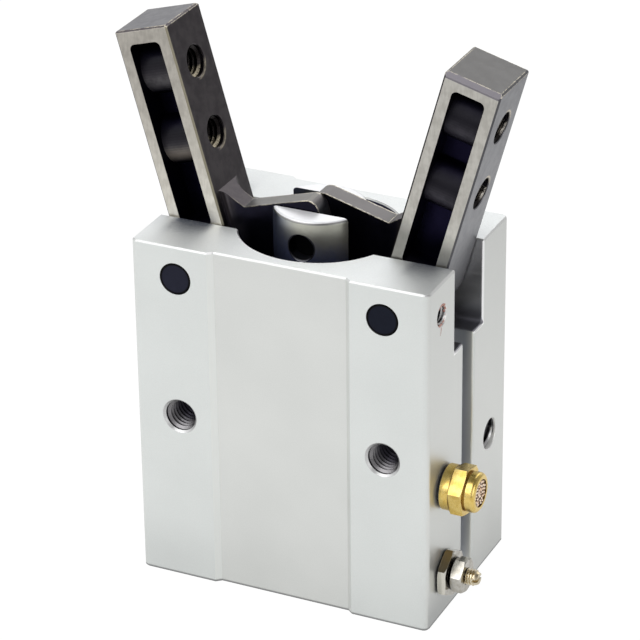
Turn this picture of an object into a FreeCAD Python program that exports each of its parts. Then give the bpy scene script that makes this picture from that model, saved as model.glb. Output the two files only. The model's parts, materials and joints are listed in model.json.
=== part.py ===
"""Pneumatic angular gripper: two bell-crank fingers moved by one spring-returned piston.

Millimetres. The origin is the centre of the housing's base, +Z points to the finger tips,
X runs from the left finger to the right one and Y from the front face to the back.
The pieces are placed as they stand without air: piston up, fingers open.
"""
import FreeCAD, Part
import math
import os

from FreeCAD import Placement, Rotation, Vector

# Housing
body_width = 48.8
body_depth = 30.8
body_height = 57.1
corner_radius = 1.0
edge_chamfer = 0.25
recess_width = 23.4
recess_depth = 0.7
recess_run = 0.85
bore_diameter = 25.0
slot_depth = 13.8
slot_floor_radius = 1.0
groove_width = 4.4
groove_depth = 4.6

# Fingers, in their upright position with the pivot as origin
opening_angle = 15.7
closing_angle = 5.0
pivot_spacing = 34.0
pivot_drop = 5.3
pivot_pin_diameter = 5.2
pivot_clearance = 0.04
pin_chamfer = 0.2
finger_thickness = 10.9
finger_side_clearance = 0.1
finger_width = 9.1
finger_reach = 36.4
finger_edge_chamfer = 0.3
finger_tip_chamfer = 0.65
hub_radius = 4.0
pocket_width = 5.3
pocket_top_margin = 2.3
pocket_floor_height = 4.4
pocket_corner_radius = 0.9
pocket_web = 2.0
finger_thread_diameter = 5.0
finger_thread_height = 17.4
finger_thread_spacing = 11.4
finger_boss_diameter = 8.4
finger_thread_chamfer = 0.12

# Levers and the pin that drives them
lever_thickness = 3.35
lever_gap = 0.1
lever_top = 6.1
lever_bottom = 4.6
lever_length = 20.2
lever_tip_radius = 1.9
lever_heel_radius = 2.8
lever_gusset = 3.2
lever_root_radius = 2.5
lever_front_root_radius = 1.0
lever_slot_clearance = 0.12
lever_slot_end_clearance = 0.2
drive_pin_diameter = 4.0
drive_pin_setback = 1.8
drive_pin_countersink = 0.25

# Piston rod
rod_diameter = 14.4
rod_top_above_pin = 4.5
rod_top_radius = 1.3
clevis_clearance = 0.2
clevis_depth = 7.6
spigot_diameter = 8.0
spigot_length = 3.4
rod_oring_section = 1.0

# Cylinder stack, from the base upwards
snap_ring_thickness = 1.2
snap_ring_width = 2.4
snap_groove_depth = 0.8
snap_ring_gap_angle = 40.0
snap_ring_hole = 1.2
cap_recess = 0.8
cap_thickness = 4.0
cap_spring_pocket = 2.0
oring_section = 1.5
oring_side_gap = 0.15
lower_bumper_thickness = 1.0
lower_bumper_diameter = 22.0
piston_stop_gap = 0.2
piston_height = 7.6
piston_clearance = 0.08
piston_land = 1.1
piston_seal_width = 2.0
piston_seal_depth = 2.4
piston_seal_clearance = 0.03
seal_lip = 0.8
seal_heel = 0.9
seal_bevel = 0.25
magnet_width = 2.2
magnet_depth = 1.8
magnet_inset = 0.15
piston_spring_pocket = 3.8
upper_bumper_diameter = 19.6
upper_bumper_clearance = 0.5
gland_length = 10.0
gland_port_gap = 0.2
rod_seal_diameter = 19.0
rod_seal_length = 3.2
rod_seal_clearance = 0.03
bush_wall = 1.0
bush_length = 5.4
rod_clearance = 0.05
gland_rod_gap = 0.2
stack_fit_clearance = 0.05

# Return spring and piston screw
spring_wire = 1.3
spring_mean_diameter = 15.0
spring_turns = 5.0
spring_pocket_clearance = 0.4
spring_end_gap = 0.05
piston_screw_diameter = 5.0
piston_screw_length = 9.0
piston_screw_head_diameter = 8.5
piston_screw_head_height = 2.6
piston_screw_socket = 3.0
piston_screw_socket_depth = 1.6

# Threads for fastening, drawn at their major diameter
mount_thread_diameter = 5.0
mount_thread_depth = 8.0
mount_spacing = 34.0
mount_height = 28.4
base_thread_diameter = 4.0
base_thread_depth = 8.0
base_thread_spacing = 33.0
thread_chamfer = 0.36
drill_point_angle = 118.0
set_screw_diameter = 3.0
set_screw_length = 3.6
set_screw_socket = 1.5
set_screw_socket_depth = 1.4

# Ports on the right side
port_thread_diameter = 5.0
port_thread_depth = 6.0
port_setback = 6.5
port_chamfer = 0.1
upper_port_height = 22.4
lower_port_height = 7.4
passage_diameter = 2.0
channel_setback = 4.6
channel_plug_diameter = 2.6
channel_plug_setback = 0.4

# Silencer
silencer_seal_thickness = 0.5
silencer_seal_diameter = 6.2
silencer_collar_length = 1.45
silencer_collar_diameter = 7.2
silencer_flats = 7.1
silencer_hex_length = 2.2
silencer_hex_turn = 16.0
silencer_neck_diameter = 5.7
silencer_neck_length = 0.3
silencer_dome_diameter = 6.3
silencer_dome_length = 1.45
silencer_rim_width = 0.3
silencer_insert_diameter = 4.4
silencer_insert_depth = 3.0
silencer_insert_setback = 0.3
silencer_shank_length = 4.5
silencer_air_diameter = 2.4

# Throttle
throttle_seal_thickness = 0.3
throttle_seal_diameter = 5.9
throttle_flats = 6.9
throttle_hex_length = 1.35
throttle_hex_turn = 2.0
throttle_boss_diameter = 3.6
throttle_nut_gap = 0.35
throttle_shank_length = 4.6
nut_flats = 5.0
nut_thickness = 1.8
nut_hex_turn = 14.0
needle_diameter = 2.6
needle_clearance = 0.05
needle_proud = 2.0
needle_slot_width = 0.5
needle_slot_depth = 0.7
needle_taper_length = 2.4
needle_tip_diameter = 0.8
hex_chamfer = 0.35

# Places that follow from the sizes above
half_width = body_width / 2
half_depth = body_depth / 2
slot_floor = body_height - slot_depth
slot_width = finger_thickness + 2 * finger_side_clearance
pivot_x = pivot_spacing / 2
pivot_height = body_height - pivot_drop
clevis_width = 2 * lever_thickness + lever_gap + 2 * clevis_clearance
wall_middle = (half_depth + slot_width / 2) / 2
port_offset = half_depth - port_setback
channel_x = half_width - channel_setback


def pin_rise(angle):
    """Height of the drive pin above the pivots when the fingers lean out by this angle."""
    return pivot_x * math.tan(math.radians(angle))


stroke = pin_rise(opening_angle) - pin_rise(-closing_angle)
drive_pin_height = pivot_height + pin_rise(opening_angle)
rod_top = drive_pin_height + rod_top_above_pin
cap_bottom = cap_recess + snap_ring_thickness
cap_top = cap_bottom + cap_thickness
piston_bottom = cap_top + lower_bumper_thickness + piston_stop_gap + stroke
piston_top = piston_bottom + piston_height
gland_bottom = upper_port_height + passage_diameter / 2 + gland_port_gap
gland_top = gland_bottom + gland_length
spring_outer = spring_mean_diameter + spring_wire + 2 * spring_pocket_clearance

X = Vector(1, 0, 0)
Y = Vector(0, 1, 0)
Z = Vector(0, 0, 1)
ORIGIN = Vector(0, 0, 0)


def rod(diameter, start, end):
    """A round bar between two points."""
    along = end - start
    return Part.makeCylinder(diameter / 2, along.Length, start, along)


def ring(outer, inner, bottom, top):
    """A plain ring about the vertical axis."""
    outside = rod(outer, Z * bottom, Z * top)
    return outside.cut(rod(inner, Z * bottom, Z * top))


def outline(corners, place):
    """A closed face through corners (a, b, radius), where place(a, b) gives the point in space.

    A radius below zero cuts the corner straight, by that length along both of its sides.
    """
    points = [Vector(a, b, 0) for a, b, radius in corners]
    stops = []
    count = len(points)
    for index, (a, b, radius) in enumerate(corners):
        here = points[index]
        to_last = (points[index - 1] - here).normalize()
        to_next = (points[(index + 1) % count] - here).normalize()
        if radius <= 0:
            stops.append((here - to_last * radius, None, here - to_next * radius))
            continue
        half = to_last.getAngle(to_next) / 2
        reach = radius / math.tan(half)
        middle = (to_last + to_next).normalize() * (radius / math.sin(half) - radius)
        stops.append((here + to_last * reach, here + middle, here + to_next * reach))
    edges = []
    for index, (enter, middle, leave) in enumerate(stops):
        if middle is not None:
            arc = [place(p.x, p.y) for p in (enter, middle, leave)]
            edges.append(Part.Arc(*arc).toShape())
        elif enter != leave:
            edges.append(Part.LineSegment(place(enter.x, enter.y), place(leave.x, leave.y)).toShape())
        following = stops[(index + 1) % count][0]
        if (following - leave).Length > 1e-6:
            ends = [place(p.x, p.y) for p in (leave, following)]
            edges.append(Part.LineSegment(*ends).toShape())
    return Part.Face(Part.Wire(edges))


def across_x(y, z):
    return Vector(0, y, z)


def across_y(x, z):
    return Vector(x, 0, z)


def across_z(x, y):
    return Vector(x, y, 0)


def bar(corners, place, direction, low, high):
    """An outline drawn through the origin, extruded from low to high along a direction."""
    face = outline(corners, place)
    face.translate(direction * low)
    return face.extrude(direction * (high - low))


def box(x_low, x_high, y_low, y_high, z_low, z_high):
    return Part.makeBox(x_high - x_low, y_high - y_low, z_high - z_low, Vector(x_low, y_low, z_low))


def turned(profile, start, axis):
    """A solid of revolution from corners (radius, distance along the axis, corner radius)."""
    solid = outline(profile, across_y).revolve(ORIGIN, Z, 360)
    solid.Placement = Placement(start, Rotation(Z, axis))
    return solid


def hexagon(flats, length, start, axis_turn):
    """A hexagon prism along X, its end edges turned off, with one corner axis_turn degrees from upright."""
    corner = flats / math.sqrt(3)
    angles = [math.radians(90 + axis_turn + 60 * step) for step in range(6)]
    corners = [(corner * math.cos(a), corner * math.sin(a), 0) for a in angles]
    prism = bar(corners, across_x, X, 0, length)
    prism.translate(start)
    flat_end = corner - hex_chamfer
    trim = [(0, 0, 0), (flat_end, 0, 0), (corner, hex_chamfer / 2, 0)]
    trim += [(corner, length - hex_chamfer / 2, 0), (flat_end, length, 0), (0, length, 0)]
    return prism.common(turned(trim, start, X))


def tapped_hole(diameter, depth, mouth, inwards, chamfer):
    """The cut for a blind tapped hole: chamfered mouth, straight wall, drill point."""
    radius = diameter / 2
    point = radius / math.tan(math.radians(drill_point_angle / 2))
    profile = [(0, -chamfer, 0), (radius + 2 * chamfer, -chamfer, 0), (radius, chamfer, 0)]
    profile += [(radius, depth, 0), (0, depth + point, 0)]
    return turned(profile, mouth, inwards)


def countersink(diameter, mouth, inwards, size):
    """The cut for a chamfered hole mouth."""
    radius = diameter / 2
    profile = [(0, -size, 0), (radius + 2 * size, -size, 0), (radius, size, 0), (0, size, 0)]
    return turned(profile, mouth, inwards)


def plain_pin(diameter, length, start):
    """A pin along Y with broken end edges."""
    radius = diameter / 2
    inner = radius - pin_chamfer
    profile = [(0, 0, 0), (inner, 0, 0), (radius, pin_chamfer, 0), (radius, length - pin_chamfer, 0)]
    return turned(profile + [(inner, length, 0), (0, length, 0)], start, Y)


def torus_ring(section, inner_diameter, middle_height):
    """A round-section seal ring about the vertical axis."""
    return Part.makeTorus((inner_diameter + section) / 2, section / 2, Z * middle_height)


def spring_pocket(bottom, top):
    return rod(spring_outer, Z * bottom, Z * top)


def finger_slot():
    """The slot that both fingers stand in, with flared edges at the top and at both ends."""
    half = slot_width / 2
    above = body_height + edge_chamfer

    def section(grow):
        wide = half + grow
        low = slot_floor - grow
        corners = [(-wide, low, slot_floor_radius), (wide, low, slot_floor_radius)]
        return outline(corners + [(wide, above, 0), (-wide, above, 0)], across_x).OuterWire

    slot = Part.Face(section(0)).extrude(X * body_width)
    slot.translate(X * -half_width)
    mouth = half + 2 * edge_chamfer
    edge = body_height - edge_chamfer
    flare = [(-mouth, above, 0), (-half, edge, 0), (half, edge, 0), (mouth, above, 0)]
    slot = slot.fuse(bar(flare, across_x, X, -half_width, half_width))
    for side in (-1, 1):
        inner = section(0)
        inner.translate(X * side * (half_width - edge_chamfer))
        outer = section(2 * edge_chamfer)
        outer.translate(X * side * (half_width + edge_chamfer))
        slot = slot.fuse(Part.makeLoft([inner, outer], True, True))
    return slot


def housing_block():
    """The extruded section with its recessed front and back bands and broken edges."""
    proud = recess_width / 2
    floor = proud - recess_run
    sunk = half_depth - recess_depth
    back = [(half_width, half_depth, corner_radius), (proud, half_depth, 0), (floor, sunk, 0)]
    back += [(-floor, sunk, 0), (-proud, half_depth, 0), (-half_width, half_depth, corner_radius)]
    corners = back + [(-x, -y, radius) for x, y, radius in back]
    block = bar(corners, across_z, Z, 0, body_height)
    rim = [edge for edge in block.Edges if abs(edge.tangentAt(edge.FirstParameter).z) < 1e-6]
    return block.makeChamfer(edge_chamfer, rim)


def housing_bore():
    """The through bore with its chamfered mouths and the two snap ring grooves."""
    radius = bore_diameter / 2
    mouth = radius + 2 * edge_chamfer
    below = -edge_chamfer
    above = body_height + edge_chamfer
    profile = [(0, below, 0), (mouth, below, 0), (radius, edge_chamfer, 0)]
    for start in (cap_recess, gland_top):
        deep = radius + snap_groove_depth
        profile += [(radius, start, 0), (deep, start, 0)]
        profile += [(deep, start + snap_ring_thickness, 0), (radius, start + snap_ring_thickness, 0)]
    profile += [(radius, body_height - edge_chamfer, 0), (mouth, above, 0), (0, above, 0)]
    return turned(profile, ORIGIN, Z)


def sensor_groove(side):
    """A groove up one side of the housing with broken edges along its mouth."""
    half = groove_width / 2
    wide = half + 2 * edge_chamfer
    floor = half_width - groove_depth
    edge = half_width - edge_chamfer
    outside = half_width + edge_chamfer
    corners = [(floor, -half), (edge, -half), (outside, -wide)]
    corners += [(outside, wide), (edge, half), (floor, half)]
    return bar([(side * x, side * y, 0) for x, y in corners], across_z, Z, 0, body_height)


def port(offset, height):
    mouth = Vector(half_width, offset, height)
    return tapped_hole(port_thread_diameter, port_thread_depth, mouth, -X, port_chamfer)


def air_ways():
    """The three ports, their drillings to the bore, and the channel from the throttle to the silencer."""
    cuts = [port(-port_offset, upper_port_height), port(-port_offset, lower_port_height)]
    cuts.append(port(port_offset, upper_port_height))
    inner = half_width - port_thread_depth
    for offset, height in ((-port_offset, lower_port_height), (port_offset, upper_port_height)):
        cuts.append(rod(passage_diameter, Vector(inner, offset, height), Vector(0, offset, height)))
    foot = Vector(channel_x, -port_offset, 0)
    cuts.append(rod(passage_diameter, foot, foot + Z * upper_port_height))
    cuts.append(rod(channel_plug_diameter, foot, foot + Z * (channel_plug_setback + channel_plug_diameter)))
    return cuts


def housing():
    body = housing_block()
    cuts = [housing_bore(), finger_slot()]
    for side in (-1, 1):
        cuts.append(sensor_groove(side))
        pin_axis = Vector(side * pivot_x, 0, pivot_height)
        cuts.append(rod(pivot_pin_diameter, pin_axis - Y * half_depth, pin_axis + Y * half_depth))
        screw_mouth = Vector(side * half_width, -wall_middle, pivot_height)
        screw_depth = half_width - pivot_x - set_screw_diameter / 2
        cuts.append(tapped_hole(set_screw_diameter, screw_depth, screw_mouth, X * -side, thread_chamfer))
        base_mouth = Vector(side * base_thread_spacing / 2, 0, 0)
        cuts.append(tapped_hole(base_thread_diameter, base_thread_depth, base_mouth, Z, thread_chamfer))
        for face in (-1, 1):
            mouth = Vector(side * mount_spacing / 2, face * half_depth, mount_height)
            hole = tapped_hole(mount_thread_diameter, mount_thread_depth, mouth, Y * -face, thread_chamfer)
            cuts.append(hole)
    return body.cut(cuts + air_ways())


def finger_blank():
    """The finger's outside: what its side, plan and front outlines have in common."""
    half = finger_width / 2
    thick = finger_thickness / 2
    front = -lever_gap / 2 - lever_thickness
    inside = -lever_gap / 2
    broken = -finger_edge_chamfer
    side = [(-half, finger_reach, broken), (half, finger_reach, broken)]
    side += [(half, lever_top + lever_gusset, 0), (half + lever_gusset, lever_top, 0)]
    side += [(lever_length, lever_top, lever_tip_radius), (lever_length, -lever_bottom, lever_heel_radius)]
    side += [(-half, -lever_bottom, hub_radius)]
    plan = [(-half, -thick, broken), (half, -thick, broken)]
    plan += [(half, front, lever_front_root_radius), (lever_length, front, 0), (lever_length, inside, 0)]
    plan += [(half, inside, lever_root_radius), (half, thick, broken), (-half, thick, broken)]
    face = [(-thick, -lever_bottom, 0), (thick, -lever_bottom, 0)]
    face += [(thick, finger_reach, -finger_tip_chamfer), (-thick, finger_reach, broken)]
    blank = bar(side, across_y, Y, -thick, thick)
    blank = blank.common(bar(plan, across_z, Z, -lever_bottom, finger_reach))
    return blank.common(bar(face, across_x, X, -half, lever_length))


def finger_thread_heights():
    return [finger_thread_height, finger_thread_height + finger_thread_spacing]


def finger_pockets():
    """The two long pockets, which leave a web and a round boss about each cross thread."""
    half = pocket_width / 2
    top = finger_reach - pocket_top_margin
    spots = [(-half, pocket_floor_height), (half, pocket_floor_height), (half, top), (-half, top)]
    corners = [(x, z, pocket_corner_radius) for x, z in spots]
    bosses = []
    for height in finger_thread_heights():
        bosses.append(rod(finger_boss_diameter, Vector(-half, 0, height), Vector(half, 0, height)))
    pockets = []
    for low, high in ((-finger_thickness / 2, -pocket_web / 2), (pocket_web / 2, finger_thickness / 2)):
        pockets.append(bar(corners, across_y, Y, low, high).cut(bosses))
    return pockets


def finger_threads():
    half = finger_width / 2
    cuts = []
    for height in finger_thread_heights():
        radius = finger_thread_diameter / 2
        flare = radius + 2 * finger_thread_chamfer
        low = -half - finger_thread_chamfer
        profile = [(0, low, 0), (flare, low, 0), (radius, finger_thread_chamfer - half, 0)]
        profile += [(radius, half - finger_thread_chamfer, 0), (flare, -low, 0), (0, -low, 0)]
        cuts.append(turned(profile, Z * height, X))
    return cuts


def lever_slot():
    """The slot, open at the lever's end, that the drive pin slides in."""
    radius = drive_pin_diameter / 2 + lever_slot_clearance
    low = pivot_x - radius - lever_slot_end_clearance
    corners = [(low, -radius, radius), (lever_length, -radius, 0)]
    corners += [(lever_length, radius, 0), (low, radius, radius)]
    return bar(corners, across_y, Y, -finger_thickness / 2, finger_thickness / 2)


def upright_finger():
    pivot = rod(pivot_pin_diameter + 2 * pivot_clearance, Y * -finger_thickness, Y * finger_thickness)
    return finger_blank().cut([pivot, lever_slot()] + finger_pockets() + finger_threads())


def left_finger():
    finger = upright_finger()
    finger.Placement = Placement(Vector(-pivot_x, 0, pivot_height), Rotation(Y, -opening_angle))
    return finger


def right_finger():
    finger = left_finger()
    finger.rotate(ORIGIN, Z, 180)
    return finger


def pivot_pin(side):
    return plain_pin(pivot_pin_diameter, body_depth, Vector(side * pivot_x, -half_depth, pivot_height))


def set_screw(side):
    """A grub screw that bears on a pivot pin."""
    tip = side * (pivot_x + pivot_pin_diameter / 2)
    start = Vector(tip, -wall_middle, pivot_height)
    outwards = X * side
    body = rod(set_screw_diameter, start, start + outwards * set_screw_length)
    socket = hexagon(set_screw_socket, set_screw_socket_depth * 2, ORIGIN, 0)
    socket.translate(start + outwards * set_screw_length - X * set_screw_socket_depth)
    return body.cut(socket)


def pin_set_screws():
    return Part.makeCompound([set_screw(side) for side in (-1, 1)])


def piston_rod():
    """The rod with its spigot for the piston and its slotted head."""
    radius = rod_diameter / 2
    spigot = spigot_diameter / 2
    screw_hole = piston_screw_diameter / 2
    hole_top = piston_bottom + piston_spring_pocket + piston_screw_length
    foot = piston_top - spigot_length
    neck = spigot + rod_oring_section
    profile = [(screw_hole, foot, 0), (spigot, foot, 0), (spigot, piston_top + rod_oring_section, 0)]
    profile += [(neck, piston_top + rod_oring_section, 0), (neck, piston_top, 0), (radius, piston_top, 0)]
    profile += [(radius, rod_top, rod_top_radius), (0, rod_top, 0)]
    profile += [(0, hole_top, 0), (screw_hole, hole_top, 0)]
    bar_stock = turned(profile, ORIGIN, Z)
    half = clevis_width / 2
    axis = Z * drive_pin_height
    cuts = [box(-radius, radius, -half, half, drive_pin_height - clevis_depth, rod_top)]
    cuts.append(rod(drive_pin_diameter, axis - Y * radius, axis + Y * radius))
    for face in (-1, 1):
        mouth = axis + Y * face * radius
        cuts.append(countersink(drive_pin_diameter, mouth, Y * -face, drive_pin_countersink))
    return bar_stock.cut(cuts)


def drive_pin():
    reach = rod_diameter / 2 - drive_pin_setback
    return plain_pin(drive_pin_diameter, 2 * reach, Vector(0, -reach, drive_pin_height))


def piston():
    """The piston: seal and magnet grooves outside, spring pocket below, seat for the rod above."""
    radius = bore_diameter / 2 - piston_clearance
    seal_floor = radius - piston_seal_depth
    magnet_floor = radius - magnet_depth
    seal_top = piston_top - piston_land
    seal_low = seal_top - piston_seal_width
    magnet_top = seal_low - piston_land
    magnet_low = magnet_top - magnet_width
    pocket = spring_outer / 2
    ceiling = piston_bottom + piston_spring_pocket
    spigot = spigot_diameter / 2
    screw = piston_screw_diameter / 2
    seat = piston_top - spigot_length
    profile = [(screw, ceiling, 0), (pocket, ceiling, 0), (pocket, piston_bottom, 0)]
    profile += [(radius, piston_bottom, 0), (radius, magnet_low, 0), (magnet_floor, magnet_low, 0)]
    profile += [(magnet_floor, magnet_top, 0), (radius, magnet_top, 0)]
    profile += [(radius, seal_low, 0), (seal_floor, seal_low, 0)]
    profile += [(seal_floor, seal_top, 0), (radius, seal_top, 0), (radius, piston_top, 0)]
    profile += [(spigot, piston_top, 0), (spigot, seat, 0), (screw, seat, 0)]
    return turned(profile, ORIGIN, Z)


def piston_seal():
    """A lip seal whose open side faces the supply chamber above the piston."""
    outer = bore_diameter / 2 - piston_seal_clearance
    inner = bore_diameter / 2 - piston_clearance - piston_seal_depth
    top = piston_top - piston_land
    low = top - piston_seal_width
    heel = outer - seal_bevel
    valley = low + seal_heel
    profile = [(inner, low, 0), (heel, low, 0), (outer, top - seal_bevel, 0), (heel, top, 0)]
    profile += [(outer - seal_lip, top, 0), ((outer + inner) / 2, valley, 0)]
    profile += [(inner + seal_lip, top, 0), (inner, top, 0)]
    return turned(profile, ORIGIN, Z)


def piston_magnet():
    outer = bore_diameter - 2 * (piston_clearance + magnet_inset)
    inner = bore_diameter - 2 * (piston_clearance + magnet_depth)
    top = piston_top - 2 * piston_land - piston_seal_width
    return ring(outer, inner, top - magnet_width, top)


def rod_oring():
    return torus_ring(rod_oring_section, spigot_diameter, piston_top + rod_oring_section / 2)


def piston_screw():
    """The screw that draws the piston onto the rod's spigot."""
    seat = piston_bottom + piston_spring_pocket
    head = rod(piston_screw_head_diameter, Z * (seat - piston_screw_head_height), Z * seat)
    shank = rod(piston_screw_diameter, Z * seat, Z * (seat + piston_screw_length))
    socket = hexagon(piston_screw_socket, piston_screw_socket_depth * 2, ORIGIN, 0)
    mouth = seat - piston_screw_head_height
    socket.Placement = Placement(Z * (mouth - piston_screw_socket_depth), Rotation(X, Z))
    return head.fuse(shank).removeSplitter().cut(socket)


def return_spring():
    """A round-wire coil between the end cap's pocket and the piston's, ends ground flat."""
    bottom = cap_top - cap_spring_pocket
    top = piston_bottom + piston_spring_pocket - spring_end_gap
    pitch = (top - bottom) / spring_turns
    radius = spring_mean_diameter / 2
    path = Part.makeHelix(pitch, top - bottom, radius)
    path.translate(Z * bottom)
    lead = math.atan2(pitch, 2 * math.pi * radius)
    normal = Vector(0, math.cos(lead), math.sin(lead))
    wire = Part.Wire(Part.makeCircle(spring_wire / 2, Vector(radius, 0, bottom), normal))
    coil = Part.Wire(path).makePipeShell([wire], True, True)
    return coil.common(rod(spring_outer, Z * bottom, Z * top))


def snap_ring(bottom):
    """An internal snap ring with a gap and two plier holes."""
    outer = bore_diameter / 2 + snap_groove_depth
    inner = outer - snap_ring_width
    whole = ring(2 * outer, 2 * inner, bottom, bottom + snap_ring_thickness)
    half_gap = math.radians(snap_ring_gap_angle / 2)
    far = 2 * outer
    wedge = [(0, 0, 0), (far * math.cos(half_gap), -far * math.sin(half_gap), 0)]
    wedge += [(far * math.cos(half_gap), far * math.sin(half_gap), 0)]
    cuts = [bar(wedge, across_z, Z, bottom, bottom + snap_ring_thickness)]
    middle = (outer + inner) / 2
    for side in (-1, 1):
        angle = side * (half_gap + snap_ring_hole / middle)
        spot = Vector(middle * math.cos(angle), middle * math.sin(angle), bottom)
        cuts.append(rod(snap_ring_hole, spot, spot + Z * snap_ring_thickness))
    return whole.cut(cuts)


def plug_with_oring_groove(bottom, top):
    """A disc that fills the bore, with a square groove for a seal ring at mid height."""
    radius = bore_diameter / 2 - stack_fit_clearance
    floor = radius - oring_section
    middle = (bottom + top) / 2
    low = middle - oring_section / 2 - oring_side_gap
    high = middle + oring_section / 2 + oring_side_gap
    profile = [(0, bottom, 0), (radius, bottom, 0), (radius, low, 0), (floor, low, 0)]
    profile += [(floor, high, 0), (radius, high, 0), (radius, top, 0), (0, top, 0)]
    return turned(profile, ORIGIN, Z)


def bore_oring(height):
    inner = bore_diameter - 2 * stack_fit_clearance - 2 * oring_section
    return torus_ring(oring_section, inner, height)


def end_cap():
    cap = plug_with_oring_groove(cap_bottom, cap_top)
    return cap.cut(spring_pocket(cap_top - cap_spring_pocket, cap_top))


def end_cap_oring():
    return bore_oring((cap_bottom + cap_top) / 2)


def lower_bumper():
    return ring(lower_bumper_diameter, spring_outer, cap_top, cap_top + lower_bumper_thickness)


def upper_bumper():
    return ring(upper_bumper_diameter, rod_diameter + 2 * upper_bumper_clearance, piston_top, gland_bottom)


def rod_gland():
    """The rod's guide: seats for the rod seal below and the bush above."""
    gland = plug_with_oring_groove(gland_bottom, gland_top)
    seal_seat = rod(rod_seal_diameter, Z * gland_bottom, Z * (gland_bottom + rod_seal_length))
    bush_outer = rod_diameter + 2 * (rod_clearance + bush_wall)
    bush_seat = rod(bush_outer, Z * (gland_top - bush_length), Z * gland_top)
    way = rod(rod_diameter + 2 * gland_rod_gap, Z * gland_bottom, Z * gland_top)
    return gland.cut([seal_seat, bush_seat, way])


def gland_oring():
    return bore_oring((gland_bottom + gland_top) / 2)


def rod_bush():
    inner = rod_diameter + 2 * rod_clearance
    return ring(inner + 2 * bush_wall, inner, gland_top - bush_length, gland_top)


def rod_seal():
    """A lip seal about the rod, its open side towards the supply chamber."""
    inner = rod_diameter / 2 + rod_seal_clearance
    outer = rod_seal_diameter / 2
    low = gland_bottom
    top = gland_bottom + rod_seal_length
    valley = top - seal_heel
    profile = [(inner, low, 0), (inner + seal_lip, low, 0), ((inner + outer) / 2, valley, 0)]
    profile += [(outer - seal_lip, low, 0), (outer, low, 0), (outer, top, 0), (inner + seal_bevel, top, 0)]
    return turned(profile, ORIGIN, Z)


def channel_plug():
    radius = channel_plug_diameter / 2
    return Part.makeSphere(radius, Vector(channel_x, -port_offset, channel_plug_setback + radius))


def silencer_start():
    return Vector(half_width, -port_offset, upper_port_height)


def port_seal(start, thickness, diameter):
    """A flat ring between a fitting and the housing."""
    end = start + X * thickness
    return rod(diameter, start, end).cut(rod(port_thread_diameter, start, end))


def silencer_end():
    """Distance of the silencer's end face from the housing's side."""
    stack = silencer_seal_thickness + silencer_collar_length + silencer_hex_length
    return stack + silencer_neck_length + silencer_dome_length


def silencer_body():
    """Shank, round collar, hexagon, neck and a domed end with a rolled rim."""
    start = silencer_start()
    shank = port_thread_diameter / 2
    collar = silencer_collar_diameter / 2
    neck = silencer_neck_diameter / 2
    dome = silencer_dome_diameter / 2
    rim = silencer_insert_diameter / 2 + silencer_rim_width
    air = silencer_air_diameter / 2
    seat = silencer_insert_diameter / 2
    hex_low = silencer_seal_thickness + silencer_collar_length
    hex_high = hex_low + silencer_hex_length
    dome_low = hex_high + silencer_neck_length
    end = silencer_end()
    floor = end - silencer_insert_setback - silencer_insert_depth
    foot = -silencer_shank_length
    profile = [(air, foot, 0), (shank, foot, 0), (shank, silencer_seal_thickness, 0)]
    profile += [(collar, silencer_seal_thickness, 0), (collar, hex_low, 0), (neck, hex_low, 0)]
    profile += [(neck, dome_low, 0), (dome, dome_low, 0), (dome, end, dome - rim), (seat, end, 0)]
    profile += [(seat, floor, 0), (air, floor, 0)]
    core = turned(profile, start, X)
    nut = hexagon(silencer_flats, silencer_hex_length, start + X * hex_low, silencer_hex_turn)
    nut = nut.cut(rod(silencer_insert_diameter, start, start + X * end))
    return core.fuse(nut)


def silencer_insert():
    start = silencer_start()
    high = silencer_end() - silencer_insert_setback
    return rod(silencer_insert_diameter, start + X * (high - silencer_insert_depth), start + X * high)


def throttle_start():
    return Vector(half_width, -port_offset, lower_port_height)


def throttle_face():
    """Distance of the throttle body's outer face from the housing's side."""
    return throttle_seal_thickness + throttle_hex_length


def throttle_body():
    start = throttle_start()
    foot = start - X * throttle_shank_length
    seat = start + X * throttle_seal_thickness
    face = start + X * throttle_face()
    end = face + X * throttle_nut_gap
    shank = rod(port_thread_diameter, foot, seat)
    nut = hexagon(throttle_flats, throttle_hex_length, seat, throttle_hex_turn)
    boss = rod(throttle_boss_diameter, face, end)
    way = rod(needle_diameter + 2 * needle_clearance, foot, end)
    return shank.fuse([nut, boss]).removeSplitter().cut(way)


def nut_end():
    return throttle_face() + throttle_nut_gap + nut_thickness


def throttle_lock_nut():
    start = throttle_start() + X * (throttle_face() + throttle_nut_gap)
    nut = hexagon(nut_flats, nut_thickness, start, nut_hex_turn)
    return nut.cut(rod(needle_diameter + 2 * needle_clearance, start, start + X * nut_thickness))


def throttle_needle():
    """The adjusting needle: tapered tip in the drilling, screwdriver slot at the outer end."""
    start = throttle_start()
    radius = needle_diameter / 2
    tip = needle_tip_diameter / 2
    inner = -port_thread_depth
    end = nut_end() + needle_proud
    taper = inner + needle_taper_length
    profile = [(0, inner, 0), (tip, inner, 0), (radius, taper, 0), (radius, end - hex_chamfer, 0)]
    profile += [(radius - hex_chamfer, end, 0), (0, end, 0)]
    needle = turned(profile, start, X)
    slot = box(end - needle_slot_depth, end, -radius, radius, -needle_slot_width / 2, needle_slot_width / 2)
    slot.translate(start)
    return needle.cut(slot)


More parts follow.
